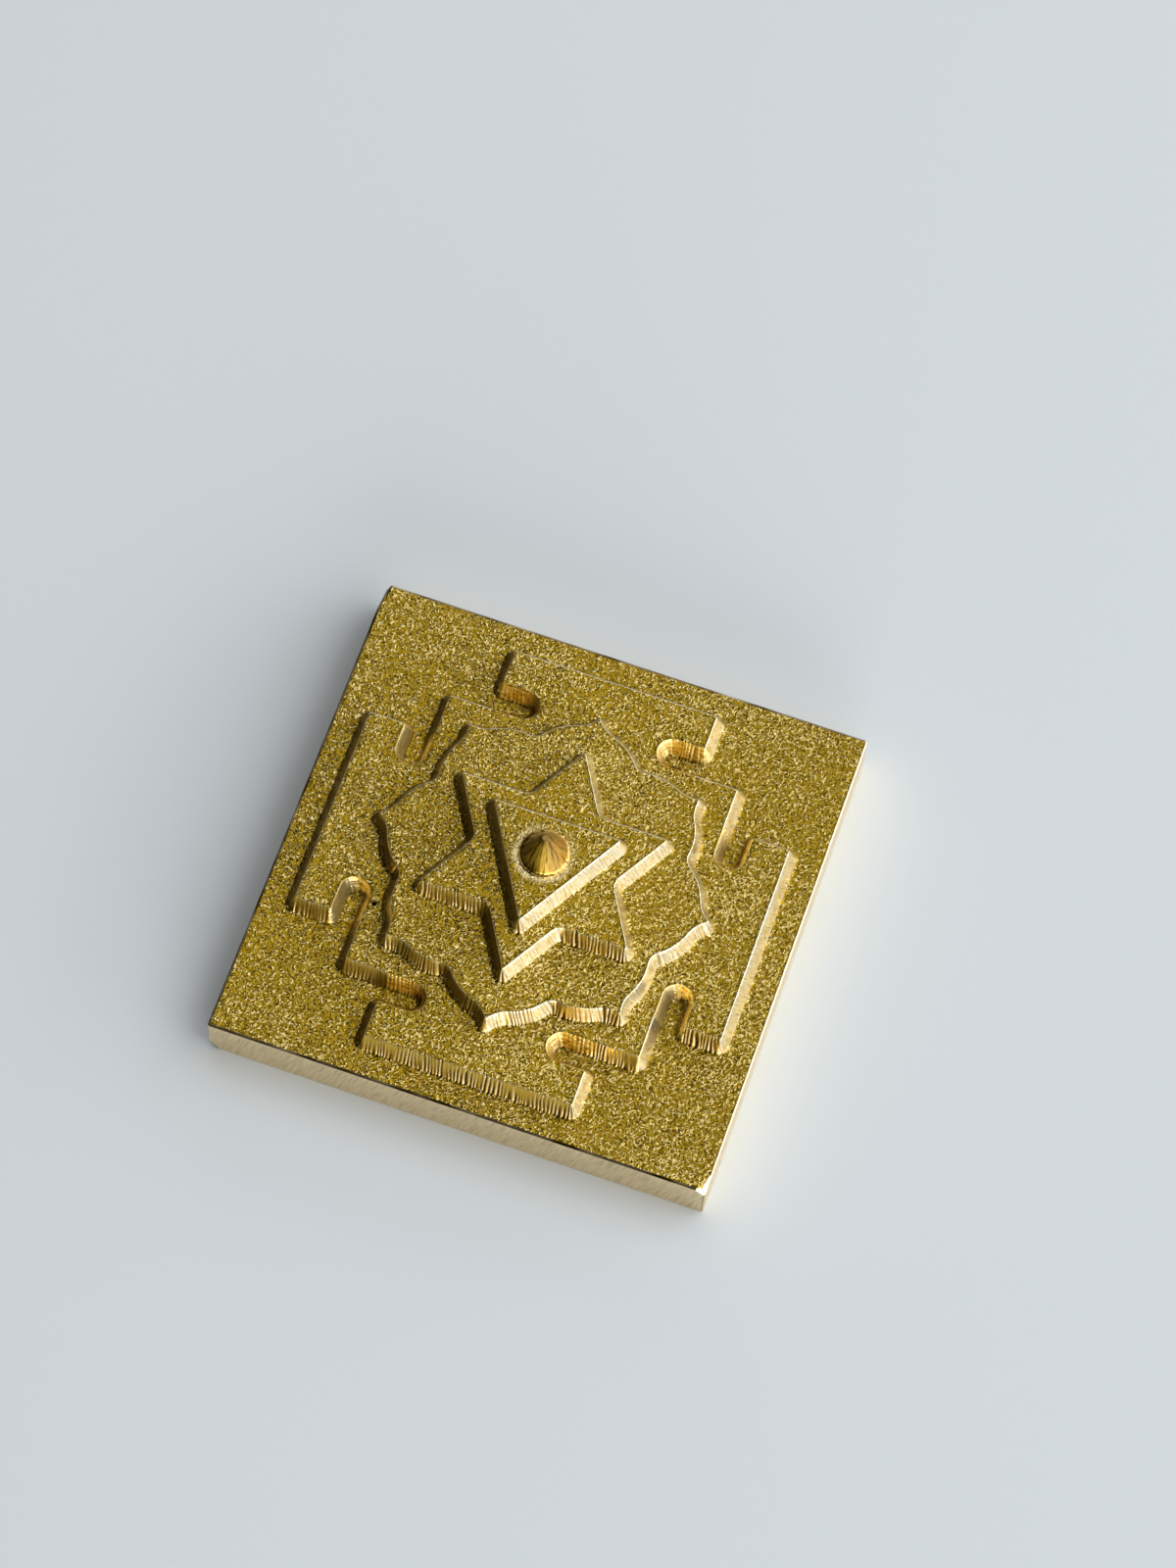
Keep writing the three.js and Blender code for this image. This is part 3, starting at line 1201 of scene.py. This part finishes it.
@dataclass
class BasePlate:
    """The square foot of the block, with its edges broken and its corners knocked.

    The broken edges waver inwards, in two layers: the finer one is weaker and changes faster.
    Past the upper broken edge come the lips, two rows that lead on to the face, each with how far
    in it is and how worn.
    """

    finishes: Finishes
    node: str = "base_plate"
    side: float = PLATE_SIDE
    corner_radius: float = 0.2
    edge_break: float = 0.1
    break_curve: float = 1.5
    break_rows: int = 5
    wall_rows: int = 24
    step: float = 0.08
    lips: tuple[tuple[float, float], ...] = ((0.04, 0.8), (0.12, 0.0))
    waver: float = 0.035
    waver_mm: float = 0.9
    fine_share: float = 0.5
    fine_rate: float = 3.0
    rims_apart: float = 5.0
    # Painted shade on the upper broken edges: how dark, how soon over the break, and how much less on
    # two sides, the far one and the right one, which faces the light.
    edge_shade: float = 0.9
    edge_shade_spread: float = 0.4
    edge_shade_mm: float = 2.0
    edge_shade_rate: float = 2.5
    far_less_shade: float = 0.15
    right_less_shade: float = 2.0
    # Painted shade along the face at the right edge.
    right_rim_shade: float = 0.8
    # How much darker the near right corner is, where the x of its outward way is between these.
    corner_darkening: float = 0.7
    corner_darkening_ways: tuple[float, float] = (0.05, 0.5)

    def knocks(self, top: float) -> list[Knock]:
        """Give the knocks at the far left, near right and near left corners.

        Args:
            top: The height of the plate's upper face.

        Returns:
            The three knocks.
        """
        half = self.side / 2
        return [
            Knock(Vector((-half, half, top)), Vector((-0.9, 0.14, 0.4)), depth=0.3, wear=-0.95),
            Knock(Vector((half, -half, top)), Vector((0.62, -0.3, 0.72)), depth=0.42, wear=0.3),
            Knock(Vector((-half, -half, 0.0)), Vector((-0.6, -0.65, -0.45)), depth=0.45, wear=-0.4),
        ]

    def rows(self, height: float) -> list[tuple[float, float, float]]:
        """Draw the plate's side, from its lower broken edge to its upper one.

        Args:
            height: The plate's height.

        Returns:
            How far in, how high and how worn each row is.
        """
        breaks = [(k / self.break_rows, (k / self.break_rows) ** self.break_curve)
                  for k in range(self.break_rows + 1)]
        falls = [fall for _, fall in reversed(breaks)]
        body = height - 2 * self.edge_break
        rows = [(self.edge_break * fall, self.edge_break * rise, 1 - share)
                for (share, rise), fall in zip(breaks, falls)]
        rows += [(0.0, self.edge_break + body * row / self.wall_rows, 0.0)
                 for row in range(1, self.wall_rows)]
        rows += [(self.edge_break * rise, height - self.edge_break * fall, share)
                 for (share, rise), fall in zip(breaks, falls)]
        return rows + [(self.edge_break + inset, height, worn) for inset, worn in self.lips]

    def wear(self, place: Station, over: float, on_face: bool) -> float:
        """Give how dark a place is painted, from 0 to -1.

        Args:
            place: The place on the outline.
            over: How far over the upper broken edge it is, from 0 to 1.
            on_face: Whether it is on the upper face.

        Returns:
            Painted shade, most on the upper edges but the right one, which faces the light and is
            darkened only along the face; and some darkening down the near right corner.
        """
        uneven = (self.edge_shade - self.far_less_shade * max(0.0, place.out.y)
                  + self.edge_shade_spread * noise.noise(place.at.to_3d() / self.edge_shade_mm))
        edge = (uneven * min(1.0, self.edge_shade_rate * over)
                * max(0.0, 1 - self.right_less_shade * max(0.0, place.out.x)))
        first, last = self.corner_darkening_ways
        at_corner = first < place.out.x < last and place.out.y < 0
        corner = self.corner_darkening if at_corner else 0.0
        rim = self.right_rim_shade * place.out.x if on_face and over > 0 else 0.0
        return -max(edge, corner, rim)

    def build(self) -> bpy.types.Object:
        """Draw the plate over its node.

        Returns:
            The piece.
        """
        half = self.side / 2
        corners = [(Vector((x * half, y * half)), self.corner_radius)
                   for x, y in ((-1, -1), (1, -1), (1, 1), (-1, 1))]
        places, _ = stations(polygon_bends(corners), self.step, 0.0)
        alongs = [place.along for place in places]
        maker = MeshMaker(self.node, 0)
        height = maker.top - maker.foot
        rings = []
        for inset, rise, worn in self.rows(height):
            upper = rise > height / 2
            apart = Vector((0, 0, self.rims_apart if upper else 0.0))
            points = []
            for place in places:
                where = place.at.to_3d() / self.waver_mm + apart
                waver = noise.noise(where) + self.fine_share * noise.noise(where * self.fine_rate)
                points.append(place.at - place.out * (inset + worn * abs(self.waver * waver)))
            wears = [self.wear(place, worn if upper else 0.0, rise >= height) for place in places]
            rings.append(maker.ring(points, rise, alongs, wears))
        last = len(rings) - 2
        maker.wall(rings, zone=lambda row, _: Zone.FACE if row == last else Zone.WALL)
        maker.lid(rings[-1], Ground(maker.top, maker.plan(rings[-1])))
        for knock in self.knocks(maker.top):
            knock.press(maker)
        return maker.build(self.finishes.plate(), Slot.PLATE)


@dataclass
class Bindu:
    """The raised centre point: a cone whose flank the cutter scored from tip to foot.

    The scores come in two layers: the finer one is weaker and changes faster. Dirt lies in them,
    the flank is darker round the tip, and the side away from the light is painted darker as painted
    shade.
    """

    finishes: Finishes
    node: str = "bindu"
    number: int = 5
    foot_radius: float = 1.46
    tip_radius: float = 0.26
    tip_wear: float = 0.05
    tip_dish: float = 0.01
    tip_darkening: float = 0.7
    sweep_radius: float = 0.2
    sides: int = 240
    score_count: float = 6.0
    score_depth: float = 0.03
    score_rise_rate: float = 0.12
    fine_share: float = 0.6
    fine_rate: float = 2.7
    # How dirty the scores are, how much painted shade the side away from the light gets, and how much
    # darker the flank is round the tip.
    score_dirt: float = 1.5
    clean_score: float = 0.2
    away_way: tuple[float, float] = (-1.0, -0.2)
    away_shade: float = 0.5
    flank_tip_darkening: float = 0.6
    tip_darkening_reach: float = 0.25
    darkest: float = 0.9

    def dirt_and_shade(self, way: Vector, radius: float, score: float) -> float:
        """Give how dirty the flank is at a place, with the painted shade on the side away from the
        light and the darkening round the tip.

        Args:
            way: The way out from the middle.
            radius: How far out the place is.
            score: The scores' height there.

        Returns:
            From 0 to the most.
        """
        # Painted shade: the side away from the light is darker.
        away = max(0.0, way.dot(Vector(self.away_way)))
        tip = max(0.0, 1 - (radius - self.tip_radius) / self.tip_darkening_reach)
        scored = max(0.0, -self.score_dirt * score - self.clean_score)
        return min(self.darkest, scored + self.away_shade * away + self.flank_tip_darkening * tip)

    def build(self) -> bpy.types.Object:
        """Draw the point over its node.

        Returns:
            The piece.
        """
        maker = MeshMaker(self.node, self.number)
        height = maker.top - maker.foot
        flank = Flank(math.atan2(self.foot_radius - self.tip_radius, height), self.sweep_radius,
                      self.tip_wear, sweep_rows=5, flank_rows=16, rim_rows=4, lip=0.0)
        ways = [polar(1.0, 360 * k / self.sides) for k in range(self.sides)]
        alongs = [2 * math.pi * self.foot_radius * k / self.sides for k in range(self.sides)]
        rings = []
        for out, rise, _ in flank.profile(height):
            radius = self.tip_radius + out
            points, wears = [], []
            for way in ways:
                where = Vector((way.x, way.y, self.score_rise_rate * rise)) * self.score_count
                score = noise.noise(where) + self.fine_share * noise.noise(where * self.fine_rate)
                points.append(way * (radius + self.score_depth * score * min(1.0, radius)))
                wears.append(-self.dirt_and_shade(way, radius, score))
            rings.append(maker.ring(points, rise, alongs, wears))
        maker.wall(rings)
        maker.lid(rings[-1], Ground(maker.top - self.tip_dish, maker.plan(rings[-1]), step=0.08,
                                    wave_depth=0.0, ripple_mm=0.15, margin=0.1, dark_tint=self.tip_darkening))
        return maker.build(self.finishes.bindu(), Slot.RELIEF)


@dataclass
class Relief:
    """The milled levels above the plate, from the bhupura to the bindu."""

    finishes: Finishes
    cutter: Cutter = Cutter()
    plate_side: float = PLATE_SIDE
    border: float = 2.23
    # The gates: the cap is the bar of the T and the neck its stem. The slots are beside the neck.
    cap_depth: float = 2.34
    cap_width: float = 13.35
    near_far_neck: float = 7.8
    left_right_neck: float = 8.2
    slot_margin: float = 0.1
    rim_corner: float = 0.08
    # A ledge is how far a level's tips stand in: from the gates' outer line, from the petals'
    # valleys, and from the star's points.
    petal_count: int = 8
    lotus_ledge: float = 3.14
    lobe_radius: float = 3.8
    nib_length: float = 0.68
    flare_radius: float = 2.2
    star_points: int = 6
    star_ledge: float = 1.15
    triangle_ledge: float = 2.98
    gate_pit: Pit = Pit((-9.06, -5.4), 0.12, 0.3)
    bindu_halo: Halo = Halo(1.72, 0.28)

    def hollow(self, node: str) -> float:
        """Give the cutter's radius at a level's rim."""
        low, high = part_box(node)
        return self.cutter.tip_radius + self.cutter.run((high[2] - low[2]) / MM)

    @property
    def reach(self) -> float:
        """Give how far the gates' outer line is from the centre."""
        return self.plate_side / 2 - self.border

    @property
    def cap_inner(self) -> float:
        """Give how far the inner line of the gates' caps is from the centre."""
        return self.reach - self.cap_depth

    @property
    def body(self) -> float:
        """Give how far the square's own sides are from the centre."""
        return self.cap_inner - 2 * self.hollow("bhupura_tier")

    def bhupura(self) -> list[Bend]:
        """Draw the square with its four T-shaped gates.

        Returns:
            The rim's bends.
        """
        slot = self.hollow("bhupura_tier")
        body, inner, reach, cap = self.body, self.cap_inner, self.reach, self.cap_width / 2
        corners: list[tuple[Vector, float]] = []
        for side in range(4):
            neck = (self.left_right_neck if side % 2 else self.near_far_neck) / 2
            plan = [(-body, body, self.rim_corner), (-neck, body, slot), (-neck, inner, slot),
                    (-cap, inner, self.rim_corner), (-cap, reach, self.rim_corner),
                    (cap, reach, self.rim_corner), (cap, inner, self.rim_corner),
                    (neck, inner, slot), (neck, body, slot)]
            corners += [(rotated(Vector((along, -out)), side * math.pi / 2), radius)
                        for along, out, radius in plan]
        return polygon_bends(corners)

    def lotus(self) -> tuple[list[Bend], float]:
        """Draw the eight petals.

        On each petal the circles are the lobe, one side's flare, the nib's tip, the other flare,
        the lobe again, and the valley to the next petal.

        Returns:
            The rim's bends, and how far its valleys are from the centre.
        """
        pitch = 360 / self.petal_count
        tip_radius = self.reach - self.lotus_ledge
        lobe_at = tip_radius - self.nib_length - self.lobe_radius
        hollow = self.hollow("lotus_tier")
        to_flare = self.lobe_radius + self.flare_radius
        tip_to_flare = self.rim_corner + self.flare_radius
        to_valley = self.lobe_radius + hollow
        circles: list[tuple[Vector, float]] = []
        for k in range(self.petal_count):
            lobe = polar(lobe_at, k * pitch)
            tip = polar(tip_radius - self.rim_corner, k * pitch)
            valley = meeting_point(polar(lobe_at, (k + 1) * pitch), to_valley, lobe, to_valley)
            circles += [
                (lobe, self.lobe_radius),
                (meeting_point(tip, tip_to_flare, lobe, to_flare), -self.flare_radius),
                (tip, self.rim_corner),
                (meeting_point(lobe, to_flare, tip, tip_to_flare), -self.flare_radius),
                (lobe, self.lobe_radius),
                (valley, -hollow),
            ]
        return chain_bends(circles), valley.length - hollow

    def hexagram(self, radius: float) -> list[Bend]:
        """Draw the six-pointed star.

        Args:
            radius: How far its points are from the centre.

        Returns:
            The rim's bends.
        """
        pitch = 360 / self.star_points
        hollow = self.hollow("hexagram_tier")
        corners: list[tuple[Vector, float]] = []
        for k in range(self.star_points):
            corners.append((polar(radius, 90 + k * pitch), self.rim_corner))
            corners.append((polar(radius / math.sqrt(3), 90 + (k + 0.5) * pitch), hollow))
        return polygon_bends(corners)

    def triangle(self, radius: float) -> list[Bend]:
        """Draw the inner triangle, its corners this far from the centre."""
        return polygon_bends([(polar(radius, degrees), self.rim_corner) for degrees in (30, 150, 270)])

    def build(self) -> None:
        """Draw every level."""
        petals, valley_at = self.lotus()
        star_at = valley_at - self.star_ledge
        slots = Slots(self.body - self.slot_margin, self.cap_inner + self.slot_margin,
                      self.cap_width / 2)
        Level("bhupura_tier", 1, self.bhupura(), self.cutter, self.finishes, pits=(self.gate_pit,),
              slots=slots).build()
        Level("lotus_tier", 2, petals, self.cutter, self.finishes).build()
        Level("hexagram_tier", 3, self.hexagram(star_at), self.cutter, self.finishes).build()
        Level("triangle_tier", 4, self.triangle(star_at - self.triangle_ledge), self.cutter,
              self.finishes, halo=self.bindu_halo).build()
        Bindu(self.finishes).build()


@dataclass(frozen=True)
class Softbox:
    """A soft rectangular lamp that faces the block, with its angles in degrees and sizes in metres.

    The azimuth runs anticlockwise from +X. A radiance of 1 is white.
    """

    name: str
    azimuth: float
    elevation: float
    distance: float
    width: float
    height: float
    radiance: float

    def hang(self) -> None:
        """Hang the lamp."""
        data = bpy.data.lights.new(self.name, "AREA")
        data.shape = "RECTANGLE"
        data.size, data.size_y = self.width, self.height
        data.energy = self.radiance * math.pi * self.width * self.height
        lamp = bpy.data.objects.new(self.name, data)
        rise = math.radians(self.elevation)
        way = polar(math.cos(rise), self.azimuth).to_3d() + Vector((0, 0, math.sin(rise)))
        lamp.location = way * self.distance
        lamp.rotation_euler = way.to_track_quat("Z", "Y").to_euler()
        bpy.context.scene.collection.objects.link(lamp)


@dataclass
class Studio:
    """A pale floor, soft light from the right, and the photograph's camera."""

    plate_side: float = PLATE_SIDE
    # The camera, solved from the plate's edges in the photograph, with the plate's side as unit.
    azimuth: float = math.radians(14.3228)
    elevation: float = math.radians(65.2227)
    roll: float = math.radians(5.2249)
    distance_in_sides: float = 10.0868
    target_in_sides: tuple[float, float] = (0.0153, 0.2239)
    focal_px: float = 5298.0
    frame_px: tuple[int, int] = (1200, 1600)
    clip_start: float = 0.01
    floor_half: float = 1.5
    floor_colour: str = "#C2C8CB"
    dim_side: str = "#0C0C0D"
    bright_side: str = "#6A6C6E"
    dim_azimuth: float = 185.0
    lamps: tuple[Softbox, ...] = (
        Softbox("window_softbox", 18, 42, distance=1.0, width=1.8, height=1.15, radiance=2.2),
        Softbox("low_softbox", 8, 10, distance=1.1, width=1.8, height=0.34, radiance=4.8),
        Softbox("front_softbox", -60, 12, distance=1.2, width=1.0, height=0.4, radiance=9),
        Softbox("top_softbox", 124, 64, distance=1.4, width=1.1, height=1.0, radiance=1.42),
        Softbox("far_softbox", 95, 18, distance=1.2, width=1.2, height=0.4, radiance=1.6),
    )

    def camera(self) -> None:
        """Place the camera as the photograph's perspective asks."""
        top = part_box("base_plate")[1][2]
        side = self.plate_side * MM
        a, e = self.azimuth, self.elevation
        back = Vector((math.sin(a) * math.cos(e), -math.cos(a) * math.cos(e), math.sin(e)))
        right = Vector((math.cos(a), math.sin(a), 0.0))
        up = back.cross(right)
        target = Vector((self.target_in_sides[0] * side, self.target_in_sides[1] * side, top))
        turned_right = right * math.cos(self.roll) + up * math.sin(self.roll)
        turned_up = back.cross(turned_right)
        place = Matrix((turned_right, turned_up, back)).transposed().to_4x4()
        place.translation = target + back * (self.distance_in_sides * side)
        data = bpy.data.cameras.new("camera")
        data.lens = self.focal_px / max(self.frame_px) * data.sensor_width
        data.clip_start = self.clip_start
        data.dof.use_dof = False
        camera = bpy.data.objects.new("camera", data)
        camera.matrix_world = place
        bpy.context.scene.collection.objects.link(camera)
        bpy.context.scene.camera = camera

    def floor(self) -> None:
        """Lay the pale floor under the block."""
        half = self.floor_half
        mesh = bpy.data.meshes.new("floor")
        mesh.from_pydata([(-half, -half, 0), (half, -half, 0), (half, half, 0), (-half, half, 0)],
                         [], [(0, 1, 2, 3)])
        material, tree = new_material("pale_floor")
        shader = add_node(tree, "ShaderNodeBsdfPrincipled",
                          {"Base Color": srgb(self.floor_colour), "Roughness": 0.9})
        add_node(tree, "ShaderNodeOutputMaterial", links={"Surface": shader.outputs["BSDF"]})
        mesh.materials.append(material)
        floor = bpy.data.objects.new("floor", mesh)
        bpy.context.scene.collection.objects.link(floor)

    def surround(self) -> None:
        """Make the room's own light: pale all round but for one dark side."""
        world = bpy.data.worlds.new("surround")
        world.use_nodes = True
        tree = world.node_tree
        tree.nodes.clear()
        way = add_node(tree, "ShaderNodeTexCoord").outputs["Generated"]
        turned = add_node(tree, "ShaderNodeVectorMath",
                          {"operation": "DOT_PRODUCT", 1: polar(1.0, self.dim_azimuth).to_3d()},
                          {0: way}).outputs["Value"]
        share = add_node(tree, "ShaderNodeMapRange", {"From Min": 0.5, "From Max": 0.05},
                         {"Value": turned}).outputs["Result"]
        colour = add_node(tree, "ShaderNodeMix", {"data_type": "RGBA", 6: srgb(self.dim_side),
                                                  7: srgb(self.bright_side)}, {0: share}).outputs[2]
        back = add_node(tree, "ShaderNodeBackground", links={"Color": colour})
        add_node(tree, "ShaderNodeOutputWorld", links={"Surface": back.outputs["Background"]})
        bpy.context.scene.world = world

    def build(self) -> None:
        """Set the whole stage."""
        bpy.context.scene.view_settings.view_transform = "Standard"
        self.camera()
        self.floor()
        for lamp in self.lamps:
            lamp.hang()
        self.surround()


def main() -> None:
    """Build the stage and every level."""
    logging.basicConfig(level=logging.INFO, format="%(name)s: %(message)s")
    Studio().build()
    finishes = Finishes()
    BasePlate(finishes).build()
    Relief(finishes).build()


if __name__ == "__main__":
    main()
